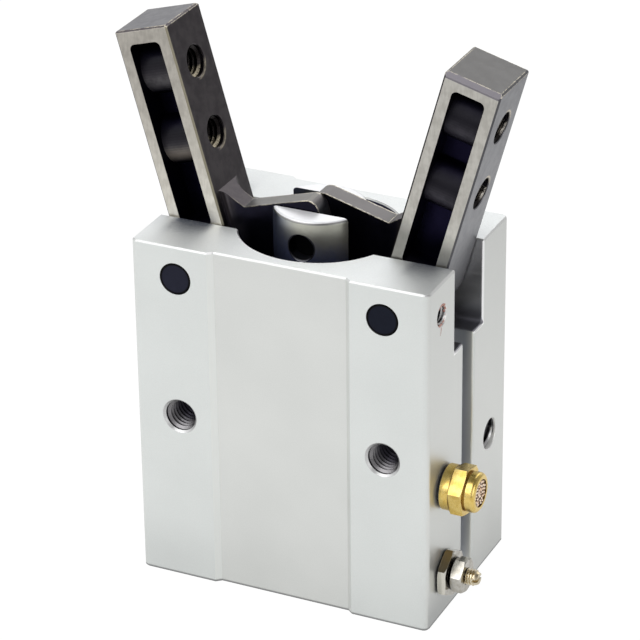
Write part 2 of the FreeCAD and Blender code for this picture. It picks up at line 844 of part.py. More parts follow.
def nodes():
    yield "housing", housing()
    yield "left_finger", left_finger()
    yield "right_finger", right_finger()
    yield "left_pivot_pin", pivot_pin(-1)
    yield "right_pivot_pin", pivot_pin(1)
    yield "pin_set_screws", pin_set_screws()
    yield "piston_rod", piston_rod()
    yield "drive_pin", drive_pin()
    yield "piston", piston()
    yield "piston_seal", piston_seal()
    yield "piston_magnet", piston_magnet()
    yield "piston_screw", piston_screw()
    yield "rod_oring", rod_oring()
    yield "return_spring", return_spring()
    yield "end_cap", end_cap()
    yield "end_cap_oring", end_cap_oring()
    yield "end_cap_snap_ring", snap_ring(cap_recess)
    yield "lower_bumper", lower_bumper()
    yield "upper_bumper", upper_bumper()
    yield "rod_gland", rod_gland()
    yield "gland_oring", gland_oring()
    yield "gland_snap_ring", snap_ring(gland_top)
    yield "rod_bush", rod_bush()
    yield "rod_seal", rod_seal()
    yield "channel_plug", channel_plug()
    yield "silencer_seal", port_seal(silencer_start(), silencer_seal_thickness, silencer_seal_diameter)
    yield "silencer_body", silencer_body()
    yield "silencer_insert", silencer_insert()
    yield "throttle_seal", port_seal(throttle_start(), throttle_seal_thickness, throttle_seal_diameter)
    yield "throttle_body", throttle_body()
    yield "throttle_lock_nut", throttle_lock_nut()
    yield "throttle_needle", throttle_needle()


def main():
    os.makedirs("parts", exist_ok=True)
    for name, shape in nodes():
        shape.exportStep(f"parts/{name}.step")
        state = "valid" if shape.isValid() else "INVALID"
        print(name, state, len(shape.Solids), "solids", round(shape.Volume, 2), "mm3")
    turn = math.radians(opening_angle + closing_angle)
    print("stroke", round(stroke, 4), "mm, finger turn", round(turn, 6), "rad")


main()
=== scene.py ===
"""Looks of the pneumatic angular gripper: materials, thread ridges, sintered grains, light and camera.

Objects are in metres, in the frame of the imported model. Numbers that place a look or a ridge are millimetres
of the rest pose, directions are unit vectors, and colours are linear.
"""
import json
import math
import random
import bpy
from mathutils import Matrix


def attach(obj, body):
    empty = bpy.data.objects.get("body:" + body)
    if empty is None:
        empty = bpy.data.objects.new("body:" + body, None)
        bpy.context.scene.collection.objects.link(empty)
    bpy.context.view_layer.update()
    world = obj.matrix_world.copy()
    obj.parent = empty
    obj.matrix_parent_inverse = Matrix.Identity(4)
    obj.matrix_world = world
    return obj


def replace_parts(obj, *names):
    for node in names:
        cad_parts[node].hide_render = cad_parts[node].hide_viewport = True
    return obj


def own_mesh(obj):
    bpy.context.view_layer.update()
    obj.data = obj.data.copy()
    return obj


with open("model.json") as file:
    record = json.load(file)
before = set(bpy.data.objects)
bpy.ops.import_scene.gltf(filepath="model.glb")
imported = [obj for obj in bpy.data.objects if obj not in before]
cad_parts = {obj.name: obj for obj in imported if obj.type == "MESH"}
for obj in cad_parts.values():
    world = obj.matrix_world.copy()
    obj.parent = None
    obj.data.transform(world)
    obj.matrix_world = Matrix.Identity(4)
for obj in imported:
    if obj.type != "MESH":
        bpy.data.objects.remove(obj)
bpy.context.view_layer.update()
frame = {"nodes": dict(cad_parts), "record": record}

from types import SimpleNamespace

import bmesh
import bpy
from mathutils import Matrix, Vector

MM = 0.001
NODES = frame["nodes"]
RNG = random.Random(7)

# Places and sizes of the solids, in millimetres
SIDE_X, FACE_Y = 24.4, 15.4
BORE_RADIUS = 12.5
SLOT_HALF, SLOT_FLOOR_Z = 5.55, 43.3
GROOVE_HALF = 2.2
FACE_HOLE_X, FACE_HOLE_Z = 17.0, 28.4
BASE_HOLE_X = 16.5
PORT_Y, UPPER_PORT_Z, LOWER_PORT_Z = 8.9, 22.4, 7.4
SILENCER_LENGTH, INSERT_SETBACK, INSERT_RADIUS = 5.9, 0.3, 2.2
PIVOT_X, PIVOT_Z = 17.0, 51.8
WALL_Y = 10.475  # middle of the walls that hold the pivot pins
LEAN = math.radians(15.7)  # of an open finger
FINGER_HALF, FINGER_SIDE = 5.45, 4.55  # half of its thickness and of its width
FINGER_HOLES = 17.4, 28.8  # from the pivot, along the finger
ROD_RADIUS, ROD_PIN_Z = 7.2, 56.58
ROD_TOP_Z = ROD_PIN_Z + 4.5
M5, M4, M3 = (2.5, 0.8), (2.0, 0.7), (1.5, 0.5)  # radius and pitch

WHITE = (1.0, 1.0, 1.0)


class Graph:
    """The node tree of a material or a world, with short calls for the nodes used here."""

    def __init__(self, owner, output="ShaderNodeOutputMaterial"):
        owner.use_nodes = True
        self.tree = owner.node_tree
        self.tree.nodes.clear()
        self.out = self.new(output)

    def new(self, kind):
        return self.tree.nodes.new(kind)

    def put(self, node, socket, value):
        """Links or sets an input; None leaves it as it is."""
        if isinstance(value, bpy.types.NodeSocket):
            self.tree.links.new(value, node.inputs[socket])
        elif value is not None:
            node.inputs[socket].default_value = value

    def math(self, operation, a, b=None):
        node = self.new("ShaderNodeMath")
        node.operation = operation
        self.put(node, 0, a)
        self.put(node, 1, b)
        return node.outputs[0]

    def plus(self, a, b):
        return self.math("ADD", a, b)

    def minus(self, a, b):
        return self.math("SUBTRACT", a, b)

    def absolute(self, value):
        return self.math("ABSOLUTE", value)

    def above(self, value, limit):
        return self.math("GREATER_THAN", value, limit)

    def below(self, value, limit):
        return self.math("LESS_THAN", value, limit)

    def both(self, first, *others):
        """The product of numbers or masks."""
        for other in others:
            first = self.math("MULTIPLY", first, other)
        return first

    def either(self, a, b):
        return self.math("MAXIMUM", a, b)

    def without(self, mask):
        return self.minus(1.0, mask)

    def length(self, a, b):
        return self.math("SQRT", self.plus(self.math("POWER", a, 2.0), self.math("POWER", b, 2.0)))

    def from_line(self, a, b, at_a, at_b):
        """Distance from a line along the third axis."""
        return self.length(self.minus(a, at_a), self.minus(b, at_b))

    def vector(self, operation, a, b):
        node = self.new("ShaderNodeVectorMath")
        node.operation = operation
        self.put(node, 0, a)
        self.put(node, 1, b)
        return node.outputs["Value" if operation == "DOT_PRODUCT" else "Vector"]

    def split(self, vector):
        node = self.new("ShaderNodeSeparateXYZ")
        self.put(node, 0, vector)
        return node.outputs

    def ramp(self, value, low, high, to_low=0.0, to_high=1.0):
        """A smooth step from one result, at low, to the other, at high."""
        node = self.new("ShaderNodeMapRange")
        node.interpolation_type = "SMOOTHSTEP"
        for socket, number in zip(("Value", 1, 2, 3, 4), (value, low, high, to_low, to_high)):
            self.put(node, socket, number)
        return node.outputs[0]

    def fall(self, value, low, high, start=1.0):
        """A smooth step down to 0."""
        return self.ramp(value, low, high, start, 0.0)

    def band(self, value, low, full, still, high):
        """1 from full to still, and 0 below low and above high."""
        return self.both(self.ramp(value, low, full), self.fall(value, still, high))

    def mix(self, share, a, b):
        """A colour between a and b, which are colours or sockets."""
        node = self.new("ShaderNodeMix")
        node.data_type = "RGBA"
        self.put(node, 0, share)
        for socket, value in ((6, a), (7, b)):
            self.put(node, socket, (*value, 1.0) if isinstance(value, tuple) else value)
        return node.outputs[2]

    def mixed(self, share, a, b):
        """A number between a and b."""
        node = self.new("ShaderNodeMix")
        self.put(node, 0, share)
        self.put(node, 2, a)
        self.put(node, 3, b)
        return node.outputs[0]

    def show(self, shader):
        self.tree.links.new(shader.outputs[0], self.out.inputs[0])

    def show_mix(self, share, a, b):
        """Shows shader a where share is 0, and b where it is 1."""
        node = self.new("ShaderNodeMixShader")
        for socket, value in enumerate((share, a.outputs[0], b.outputs[0])):
            self.put(node, socket, value)
        self.show(node)


class Surface(Graph):
    """A material of the part, with places in millimetres of the rest pose."""

    def __init__(self, name):
        self.material = bpy.data.materials.new(name)
        super().__init__(self.material)
        coords = self.new("ShaderNodeTexCoord").outputs["Object"]
        self.mm = self.vector("MULTIPLY", coords, (1 / MM, 1 / MM, 1 / MM))
        self.x, self.y, self.z = self.split(self.mm)

    def noise(self, scale, detail=2.0, rough=0.5, stretch=None):
        node = self.new("ShaderNodeTexNoise")
        self.put(node, "Vector", self.vector("MULTIPLY", self.mm, stretch) if stretch else self.mm)
        self.put(node, "Scale", scale)
        self.put(node, "Detail", detail)
        self.put(node, "Roughness", rough)
        return node.outputs["Fac"]

    def gloss(self, noise, low, high):
        """Roughness between two values that follows a noise."""
        return self.ramp(noise, 0.3, 0.7, low, high)

    def normal(self):
        return self.new("ShaderNodeNewGeometry").outputs["True Normal"]

    def own_normal(self):
        """The normal in the piece's own axes, so that it turns with the piece."""
        node = self.new("ShaderNodeVectorTransform")
        node.vector_type = "NORMAL"
        node.convert_from = "WORLD"
        node.convert_to = "OBJECT"
        self.put(node, 0, self.normal())
        return node.outputs[0]

    def rounded(self, radius):
        """The normal as it would be with edges rounded by this radius in metres."""
        node = self.new("ShaderNodeBevel")
        node.samples = 6
        self.put(node, "Radius", radius)
        return node.outputs[0]

    def edges(self, radius_mm, low, high):
        """High along edges: how far a rounded normal turns from the face's own."""
        turn = self.vector("DOT_PRODUCT", self.rounded(radius_mm * MM), self.normal())
        return self.ramp(self.without(turn), low, high)

    def openness(self, distance_mm):
        """1 where nothing is near, and less in corners and hollows."""
        node = self.new("ShaderNodeAmbientOcclusion")
        node.samples = 6
        self.put(node, "Distance", distance_mm * MM)
        return node.outputs["AO"]

    def bump(self, height, strength, distance_mm, normal=None):
        node = self.new("ShaderNodeBump")
        self.put(node, "Strength", strength)
        self.put(node, "Distance", distance_mm * MM)
        self.put(node, "Height", height)
        self.put(node, "Normal", normal)
        return node.outputs[0]

    def finish(self, base, rough, metallic, normal, specular=None):
        shader = self.new("ShaderNodeBsdfPrincipled")
        self.put(shader, "Base Color", base)
        self.put(shader, "Roughness", rough)
        self.put(shader, "Metallic", metallic)
        self.put(shader, "Normal", normal)
        self.put(shader, "Specular IOR Level", specular)
        self.show(shader)
        return self.material


# Colours of the block
BLOCK_FACE = (0.672, 0.685, 0.664), (0.728, 0.740, 0.718)
BLOCK_STRIPS = (0.696, 0.720, 0.704), (0.752, 0.777, 0.760)  # beside the recess
# the top painted lighter than the other faces, as painted light
BLOCK_TOP_PAINTED_LIGHT = (0.825, 0.845, 0.84), (0.915, 0.935, 0.93)
# painted reflection of the fingers' dark pockets on the top
PAINTED_FINGER_REFLECTION = (0.03, 0.045, 0.10)
RECESS_STEP_PAINTED_LIGHT = (0.78, 0.80, 0.775)
# chamfers: the front ones painted darker to dim their highlight, the right ones painted lighter as painted
# light
FRONT_EDGE, RIGHT_EDGE = (0.60, 0.612, 0.60), (0.80, 0.805, 0.79)
LOW_SIDE_SHADE = (0.40, 0.41, 0.41)
FOOT_SHADE = (0.12, 0.12, 0.125)
SLOT_WALL = (0.50, 0.505, 0.52), (0.60, 0.60, 0.595)
SLOT_FLOOR = (0.28, 0.28, 0.31)
BORE_WALL_SHADE = (0.16, 0.16, 0.27)
GROOVE_LOW, GROOVE_HIGH = (0.62, 0.635, 0.66), (0.52, 0.535, 0.555)
GROOVE_MOUTH_LIGHT = (0.86, 0.86, 0.80)
# the chamfer round the front holes, painted darker to dim its highlight
HOLE_RING = (0.58, 0.585, 0.58)
HOLE_SHADE = (0.02, 0.02, 0.027)
PORT_MOUTH_LIGHT, PORT_SHADE = (1.0, 1.0, 0.97), (0.12, 0.12, 0.125)


def anodised_aluminium():
    """Satin clear anodised block: blasted grain, rough top, slot and bore darkened with painted shade, grooves
    painted light towards their mouths, tapped holes and hollows painted dark as shade, and the open port's
    mouth painted pale as lit.
    """
    g = Surface("anodised_aluminium")
    at = SimpleNamespace(out=g.absolute(g.x), across=g.absolute(g.y), from_bore=g.length(g.x, g.y))
    at.nx, at.ny, at.nz = g.split(g.normal())
    at.from_hole = g.from_line(at.out, g.z, FACE_HOLE_X, FACE_HOLE_Z)
    at.grain = g.noise(7.0, 3.0, 0.65)
    at.tone = g.mixed(0.45, at.grain, g.noise(0.07, 2.0))
    at.top = g.ramp(at.nz, 0.9, 0.99)
    at.broken_edge = g.band(at.nz, 0.5, 0.6, 0.8, 0.9)
    at.by_step = g.band(at.out, 10.8, 11.2, 13.0, 13.4)

    # Slot, bore and grooves
    in_slot = g.both(g.below(at.across, SLOT_HALF + 0.01), g.above(g.z, SLOT_FLOOR_Z - 0.1))
    in_bore = g.below(at.from_bore, BORE_RADIUS + 0.02)
    in_groove = g.both(g.below(at.across, GROOVE_HALF + 0.01), g.below(g.z, SLOT_FLOOR_Z + 0.1))
    cut = g.either(in_slot, in_bore)
    lines = g.noise(1.0, 2.0, 0.5, (0.12, 3.0, 1.2))
    machined = g.mix(lines, *SLOT_WALL)
    # slot walls painted darker towards the slot floor and the bore wall bluish dark, as painted shade
    machined = g.mix(g.ramp(g.z, SLOT_FLOOR_Z + 0.9, SLOT_FLOOR_Z + 3.9), SLOT_FLOOR, machined)
    machined = g.mix(in_bore, machined, BORE_WALL_SHADE)
    # grooves lighter lower down, and painted light towards their mouths on the sides
    groove = g.mix(g.ramp(g.z, 30.0, 40.0), GROOVE_LOW, GROOVE_HIGH)
    groove = g.mix(g.ramp(at.out, 22.6, 24.2), groove, GROOVE_MOUTH_LIGHT)
    base = g.mix(in_groove, block_faces(g, at), groove)
    base = g.mix(cut, base, machined)

    # Tapped holes and hollows painted black as shade, and the open port's mouth painted pale as lit, with
    # painted shade over its upper part
    thread_radius = M5[0] + 0.02
    hole = g.below(at.from_hole, thread_radius)
    port = g.below(g.from_line(g.y, g.z, PORT_Y, UPPER_PORT_Z), thread_radius)
    port = g.both(port, g.above(g.x, 15.0))
    mouth = g.both(port, g.ramp(g.x, SIDE_X - 0.8, SIDE_X - 0.55))
    tapped = g.either(hole, g.minus(port, mouth))
    hollow_shade = g.both(g.fall(g.openness(3.0), 0.05, 0.35, 0.9), g.without(in_groove))
    base = g.mix(g.either(hollow_shade, g.both(tapped, 0.97)), base, HOLE_SHADE)
    shade = g.fall(g.x, SIDE_X - 0.45, SIDE_X - 0.30)
    shade = g.both(shade, g.ramp(g.z, UPPER_PORT_Z - 1.8, UPPER_PORT_Z - 0.6))
    base = g.mix(mouth, base, g.mix(shade, PORT_MOUTH_LIGHT, PORT_SHADE))

    rough = g.mixed(at.top, g.gloss(at.tone, 0.35, 0.43), g.gloss(at.tone, 0.56, 0.64))
    rough = g.mixed(cut, rough, g.gloss(lines, 0.28, 0.36))
    by_groove = g.both(g.below(at.across, GROOVE_HALF + 1.0), g.below(g.z, SLOT_FLOOR_Z + 0.1))
    by_slot = g.both(g.below(at.across, SLOT_HALF + 0.85), g.above(at.out, 18.0))
    radius = g.mixed(by_groove, g.mixed(by_slot, 0.03 * MM, 0.25 * MM), 0.55 * MM)
    normal = g.bump(g.both(at.grain, g.without(cut)), 0.10, 0.02, g.rounded(radius))
    slanted = g.ramp(g.absolute(at.nx), 0.15, 0.3)
    step_top = g.both(at.broken_edge, at.by_step, slanted, g.above(g.z, 50.0))
    return g.finish(base, rough, g.mixed(g.either(mouth, step_top), 0.88, 0.1), normal)


def block_faces(g, at):
    """The blasted outside: strips beside the recess, chamfers painted darker at the front and lighter at the
    right with painted white highlights, hole rings painted darker to dim their highlight, and painted shade on
    the low sides and foot.
    """
    share = g.ramp(at.tone, 0.32, 0.68)
    strips = g.both(g.ramp(at.out, 11.0, 11.8), g.ramp(g.absolute(at.ny), 0.6, 0.9))
    face = g.mix(strips, g.mix(share, *BLOCK_FACE), g.mix(share, *BLOCK_STRIPS))
    # the step of the recess that faces right, painted lighter as painted light
    step = g.both(g.ramp(at.nx, 0.2, 0.4), g.fall(at.ny, -0.4, -0.2), g.below(at.out, 20.0))
    face = g.mix(step, face, RECESS_STEP_PAINTED_LIGHT)
    # painted white highlights on the step's chamfers and where the chamfers turn from the front to the right
    # side
    white_highlight = g.either(at.by_step, g.fall(at.nx, 0.45, 0.6))
    edge = g.mix(g.ramp(at.nx, 0.15, 0.4), FRONT_EDGE, g.mix(white_highlight, RIGHT_EDGE, WHITE))
    face = g.mix(at.broken_edge, face, edge)
    face = g.mix(at.top, face, block_top(g, at))
    # painted shade low on the side faces, strongest towards the front
    side = g.both(g.ramp(g.absolute(at.nx), 0.8, 0.95), g.ramp(g.y, -14.0, 4.0, 1.0, 0.1))
    face = g.mix(g.both(side, g.fall(g.z, 0.5, 8.0, 0.62)), face, LOW_SIDE_SHADE)
    # painted white highlight round the slot's mouth on the right side
    slot_rim_highlight = g.both(g.fall(at.across, SLOT_HALF + 0.15, SLOT_HALF + 0.37), g.ramp(at.nx, 0.5, 0.8))
    slot_rim_highlight = g.both(slot_rim_highlight, g.above(g.z, SLOT_FLOOR_Z - 0.4))
    face = g.mix(slot_rim_highlight, face, WHITE)
    # painted shade along the bottom edge, where the block meets the floor
    face = g.mix(g.fall(g.z, 0.3, 0.62, 0.75), face, FOOT_SHADE)
    return g.mix(g.below(at.from_hole, 2.9), face, HOLE_RING)


def block_top(g, at):
    """The rough top, painted lighter as lit: painted dark reflections of the fingers' pockets, and a painted
    white highlight round the bore.
    """
    on_right = g.above(g.x, 0.0)
    outwards = g.minus(at.out, g.both(on_right, 2.4))  # the right patch lies further out
    before_pocket = g.band(outwards, 14.4, 16.0, 20.8, 22.4)
    strength = g.mixed(before_pocket, g.ramp(outwards, 14.0, 18.0, 0.06, 0.35), 1.0)
    strength = g.both(strength, g.ramp(at.grain, 0.36, 0.64, 0.72, 1.0), g.ramp(g.y, -4.0, 5.0, 1.0, 0.35))
    clear = g.plus(g.openness(12.0), g.both(on_right, 0.11))  # and nearer to the finger
    top = g.mix(g.ramp(at.tone, 0.36, 0.64), *BLOCK_TOP_PAINTED_LIGHT)
    # painted reflection of the pockets, darkest where the fingers stand close
    top = g.mix(g.both(g.fall(clear, 0.70, 0.89), strength), top, PAINTED_FINGER_REFLECTION)
    # painted white highlight along the bore's rim
    return g.mix(g.fall(at.from_bore, BORE_RADIUS + 0.25, BORE_RADIUS + 0.45), top, WHITE)


# Colours of the fingers: where two pairs differ by side, the right finger's and the left one's, the same steel
# toned apart as painted light and shade
BROWNED = (0.080, 0.071, 0.077), (0.108, 0.097, 0.102)
OUTER_SIDE = (0.155, 0.157, 0.172), (0.225, 0.226, 0.240)
CAP_RIGHT, CAP_LEFT = (
    ((0.100, 0.098, 0.096), (0.136, 0.133, 0.130)), ((0.132, 0.131, 0.142), (0.172, 0.170, 0.182)),
)
LEVER_RIGHT, LEVER_LEFT = (
    ((0.130, 0.124, 0.124), (0.180, 0.171, 0.170)), ((0.165, 0.160, 0.150), (0.225, 0.218, 0.203)),
)
LEVER_SIDE_SHADE = (0.0095, 0.0090, 0.0160)
DARK_BEVEL, OUTER_BEVEL = (0.022, 0.019, 0.021), (0.095, 0.095, 0.102)
INNER_BEVEL = (0.17, 0.155, 0.115), (0.32, 0.295, 0.225)
TIP_BEVEL = (0.172, 0.162, 0.180), (0.262, 0.248, 0.270)
GROUND_RIGHT, GROUND_LEFT = (
    ((0.42, 0.405, 0.37), (0.54, 0.525, 0.485)), ((0.36, 0.34, 0.305), (0.48, 0.455, 0.41)),
)
GROUND_LOW_LEFT_LIGHT = (0.56, 0.535, 0.475), (0.68, 0.655, 0.59)
GROUND_FOOT_RIGHT = (0.10, 0.10, 0.092)
SCUFFED, CHIPPED, WORN_RIM = (0.62, 0.59, 0.53), (0.86, 0.79, 0.62), (0.62, 0.55, 0.42)
POCKET_SHADE = (0.0062, 0.0053, 0.016)
BOSS = (0.010, 0.0092, 0.0135), (0.018, 0.0165, 0.021)
BOSS_UNDER_LIGHT = (0.036, 0.0335, 0.042), (0.075, 0.071, 0.075)
BOSS_LOWEST_LIGHT, BOSS_OVER_SHADE = (0.16, 0.14, 0.12), (0.0045, 0.0042, 0.0065)


def finger_steel():
    """Browned steel with ground front and back faces, worn edges, and pockets painted nearly black as shade.
    """
    g = Surface("finger_steel")
    at = finger_places(g)
    ground = g.ramp(at.depth, FINGER_HALF - 0.06, FINGER_HALF - 0.02)
    ground = g.both(ground, g.without(at.tip_band))
    pocket, boss, hollow = finger_pockets(g, at)
    base = g.mix(pocket, worn(g, at, browned(g, at)), hollow)
    base = g.mix(ground, base, ground_faces(g, at))
    rough = g.mixed(ground, g.gloss(at.mottle, 0.30, 0.40), g.gloss(at.streak, 0.32, 0.42))
    normal = g.bump(g.mixed(0.5, at.fine, at.streak), 0.10, 0.02)
    dull = g.both(pocket, boss, g.without(ground))
    return g.finish(base, rough, g.mixed(dull, 0.95, 0.15), normal, specular=0.1)


def finger_places(g):
    """Places and directions in the fingers' own lines, and the noises of their steel."""
    at = SimpleNamespace(out=g.absolute(g.x), depth=g.absolute(g.y), left=g.below(g.x, 0.0))
    at.right = g.without(at.left)
    nx, ny, at.nz = g.split(g.own_normal())
    at.facing = g.absolute(ny)
    at.along, at.across = leaning(g, g.minus(at.out, PIVOT_X), g.minus(g.z, PIVOT_Z))
    at.up, at.aside = leaning(g, g.both(nx, g.math("SIGN", g.x)), at.nz)
    at.lever = g.fall(at.out, 9.8, 11.6)
    at.tip_band = g.both(g.above(at.along, 35.48), at.right)
    at.mottle = g.noise(0.6, 4.0, 0.6)
    at.fine = g.noise(5.0, 3.0, 0.65)
    at.streak = g.noise(1.0, 3.0, 0.6, (3.0, 1.0, 0.6))
    return at


def leaning(g, outwards, up):
    """Two parts of a place or direction in a finger's plane: along the finger, and across it outwards."""
    along = g.plus(g.both(outwards, math.sin(LEAN)), g.both(up, math.cos(LEAN)))
    across = g.minus(g.both(outwards, math.cos(LEAN)), g.both(up, math.sin(LEAN)))
    return along, across


def from_cross_hole(g, along):
    """How far along the finger a place is from the nearer of the two cross holes."""
    lower, upper = FINGER_HOLES
    second = g.both(g.above(along, (lower + upper) / 2), upper - lower)
    return g.minus(along, g.plus(second, lower))


def by_side(g, at, share, right, left):
    return g.mix(at.left, g.mix(share, *right), g.mix(share, *left))


def browned(g, at):
    """The browned faces and the broken edges between them, the same steel painted lighter and darker by which
    way each faces and on which finger, as painted light and shade.
    """
    brown = g.mix(g.ramp(at.mottle, 0.35, 0.65), *BROWNED)
    brown = g.mix(g.ramp(at.aside, 0.4, 0.8), brown, g.mix(at.mottle, *OUTER_SIDE))
    brown = g.mix(g.ramp(at.up, 0.90, 0.97), brown, by_side(g, at, at.mottle, CAP_RIGHT, CAP_LEFT))
    lever_top = g.both(at.lever, g.ramp(at.nz, 0.5, 0.85))
    brown = g.mix(lever_top, brown, by_side(g, at, at.mottle, LEVER_RIGHT, LEVER_LEFT))
    # the lever sides painted near black, as painted shade
    lever_side = g.both(g.fall(at.out, 12.0, 15.0), g.ramp(at.facing, 0.6, 0.9))
    brown = g.mix(lever_side, brown, LEVER_SIDE_SHADE)
    broken = g.band(at.facing, 0.35, 0.5, 0.85, 0.95)
    bevel = g.mix(g.both(g.ramp(at.aside, 0.2, 0.5), at.right), DARK_BEVEL, OUTER_BEVEL)
    near_face = g.ramp(at.depth, FINGER_HALF - 0.6, FINGER_HALF - 0.5)
    inner = g.both(g.fall(at.aside, -0.5, -0.2), at.left, near_face)
    bevel = g.mix(inner, bevel, g.mix(at.mottle, *INNER_BEVEL))
    brown = g.mix(g.both(broken, g.fall(at.up, 0.3, 0.5)), brown, bevel)
    tip = g.both(broken, g.ramp(at.up, 0.4, 0.6), at.right)
    tip = g.either(tip, g.both(at.tip_band, g.ramp(at.facing, 0.9, 0.97)))
    return g.mix(tip, brown, g.mix(at.mottle, *TIP_BEVEL))


def worn(g, at, steel):
    """Bare metal on the edges of the tips and levers, and on one side of the cross holes' rims."""
    outside = g.ramp(g.openness(1.2), 0.5, 0.8)
    scuffs = g.both(at.lever, g.edges(0.9, 0.02, 0.16), g.ramp(g.noise(2.2, 3.0, 0.7), 0.50, 0.60))
    scuffs = g.both(scuffs, g.ramp(at.nz, 0.3, 0.6), outside)
    steel = g.mix(scuffs, steel, SCUFFED)
    on_lever = g.both(g.fall(at.out, 12.0, 14.0), g.ramp(g.x, -3.5, -1.5, 0.3, 1.0))
    on_tip = g.ramp(at.along, 35.8, 36.05)
    chips = g.both(g.edges(0.28, 0.012, 0.07), outside, g.either(on_tip, on_lever))
    chips = g.both(chips, g.ramp(g.noise(0.9, 3.0, 0.7), 0.36, 0.56))
    steel = g.mix(chips, steel, CHIPPED)
    height = from_cross_hole(g, at.along)
    rim = g.band(g.length(height, g.y), 2.40, 2.52, 2.72, 3.05)
    rim = g.both(rim, g.ramp(g.absolute(at.aside), 0.6, 0.9), g.ramp(at.fine, 0.35, 0.55, 0.35, 1.0))
    worn_side = g.plus(g.both(height, g.mixed(at.left, 0.8, -0.8)), g.both(g.y, 0.6))
    return g.mix(g.both(rim, g.ramp(worn_side, 1.7, 2.5)), steel, WORN_RIM)


def finger_pockets(g, at):
    """The pockets' mask, the mask of the bosses round the cross holes, and the colour of both: pockets painted
    nearly black as shade, bosses with painted light and shade.
    """
    inside = g.both(g.below(g.absolute(at.across), 2.72), g.below(at.along, 34.2), g.above(at.along, 4.2))
    hollow_shade = g.both(g.fall(g.openness(6.0), 0.30, 0.70), g.without(at.lever))
    boss = g.both(g.ramp(at.depth, 2.0, 4.2), g.fall(g.absolute(at.aside), 0.4, 0.8))
    boss_light_and_shade = g.mix(at.left, *BOSS)
    # bosses painted lighter underneath and low on the left, and darker on top on the left, as painted light
    # and shade
    under = g.both(g.fall(at.up, -0.35, 0.20), g.ramp(g.noise(0.9, 3.0, 0.6), 0.3, 0.6, 0.5, 1.0))
    boss_light_and_shade = g.mix(under, boss_light_and_shade, g.mix(at.left, *BOSS_UNDER_LIGHT))
    lowest = g.both(g.fall(g.z, 71.0, 76.0), at.left, g.fall(at.up, -0.5, 0.0))
    boss_light_and_shade = g.mix(lowest, boss_light_and_shade, BOSS_LOWEST_LIGHT)
    boss_light_and_shade = g.mix(g.both(at.left, g.ramp(at.up, 0.1, 0.5)), boss_light_and_shade, BOSS_OVER_SHADE)
    return g.either(inside, hollow_shade), boss, g.mix(boss, POCKET_SHADE, boss_light_and_shade)


def ground_faces(g, at):
    """The ground strips: painted lighter low on the left finger as painted light, and painted shade at the
    right finger's foot.
    """
    blotch = g.ramp(g.mixed(0.5, at.streak, g.noise(0.8, 3.0)), 0.34, 0.66)
    bare = by_side(g, at, blotch, GROUND_RIGHT, GROUND_LEFT)
    higher = g.ramp(g.plus(g.z, g.both(g.x, -0.2)), 60.0, 88.0)
    bare = g.mix(g.either(higher, at.right), g.mix(blotch, *GROUND_LOW_LEFT_LIGHT), bare)
    return g.mix(g.both(g.fall(at.along, 8.5, 12.5, 0.72), at.right), bare, GROUND_FOOT_RIGHT)


# the pins are alike: the left one painted lighter than the right, as painted light and shade
PIN_LEFT = (0.0105, 0.0115, 0.0205), (0.0180, 0.0190, 0.0330)
PIN_RIGHT = (0.0050, 0.0062, 0.0125), (0.0095, 0.0115, 0.0210)
PIN_EDGE_SHADE = (0.0008, 0.0008, 0.0012)


def dark_steel():
    """Blackened pins: dull bluish ends, the left pin painted lighter than the right as painted light and
    shade, with a broken edge painted black as shade; the drive pin painted black all over, as shade in its
    hole.
    """
    g = Surface("dark_steel")
    mottle = g.noise(1.2, 4.0, 0.6)
    base = g.mix(g.above(g.x, 0.0), g.mix(mottle, *PIN_LEFT), g.mix(mottle, *PIN_RIGHT))
    edge = g.ramp(g.from_line(g.absolute(g.x), g.z, PIVOT_X, PIVOT_Z), 2.10, 2.34)
    base = g.mix(edge, base, PIN_EDGE_SHADE)
    normal = g.bump(g.noise(6.0), 0.1, 0.02)
    return g.finish(base, g.gloss(mottle, 0.40, 0.52), 0.3, normal, specular=0.1)


# painted bluish shade and reflection low on the head, over the head's olive grey
ROD_LOW_SHADE, ROD_HEAD = (0.30, 0.345, 0.58), (0.54, 0.535, 0.465)
ROD_SHADED = (0.145, 0.175, 0.29)
# a painted dark line on the rounded edge below the top
ROD_EDGE_SHADE = (0.22, 0.22, 0.215)
# the top painted near white, as painted light
ROD_TOP = (0.92, 0.93, 0.95), (0.99, 0.99, 1.0)
# the pin hole and its chamfer painted dark, as painted shade
ROD_HOLE, ROD_HOLE_EDGE = (0.010, 0.010, 0.013), (0.12, 0.12, 0.14)


def rod_steel():
    """Ground rod: satin top painted near white as painted light, olive grey head with painted bluish shade and
    reflection lower down and on the left, a painted dark line on the rounded edge, and the pin hole painted
    dark as shade.
    """
    g = Surface("rod_steel")
    nz = g.split(g.normal())[2]
    cloud = g.noise(0.45, 3.0)
    fine = g.noise(4.0, 3.0, 0.6)
    level = g.plus(g.plus(g.z, g.both(cloud, 2.4)), g.both(g.x, 0.22))
    base = g.mix(g.ramp(level, 55.4, 60.2), ROD_LOW_SHADE, ROD_HEAD)
    base = g.mix(g.fall(g.x, -5.5, 0.0, 0.85), base, ROD_SHADED)
    base = g.mix(g.ramp(nz, 0.05, 0.30), base, ROD_EDGE_SHADE)
    top = g.ramp(nz, 0.55, 0.75)
    base = g.mix(top, base, g.mix(cloud, *ROD_TOP))
    from_pin = g.from_line(g.x, g.z, 0.0, ROD_PIN_Z)
    hole = g.mix(g.ramp(from_pin, 2.04, 2.14), ROD_HOLE, ROD_HOLE_EDGE)
    base = g.mix(g.below(from_pin, 2.28), base, hole)
    rough = g.mixed(top, g.gloss(fine, 0.28, 0.36), g.gloss(fine, 0.30, 0.40))
    return g.finish(base, rough, g.mixed(top, 0.95, 0.3), g.bump(fine, 0.14, 0.01))


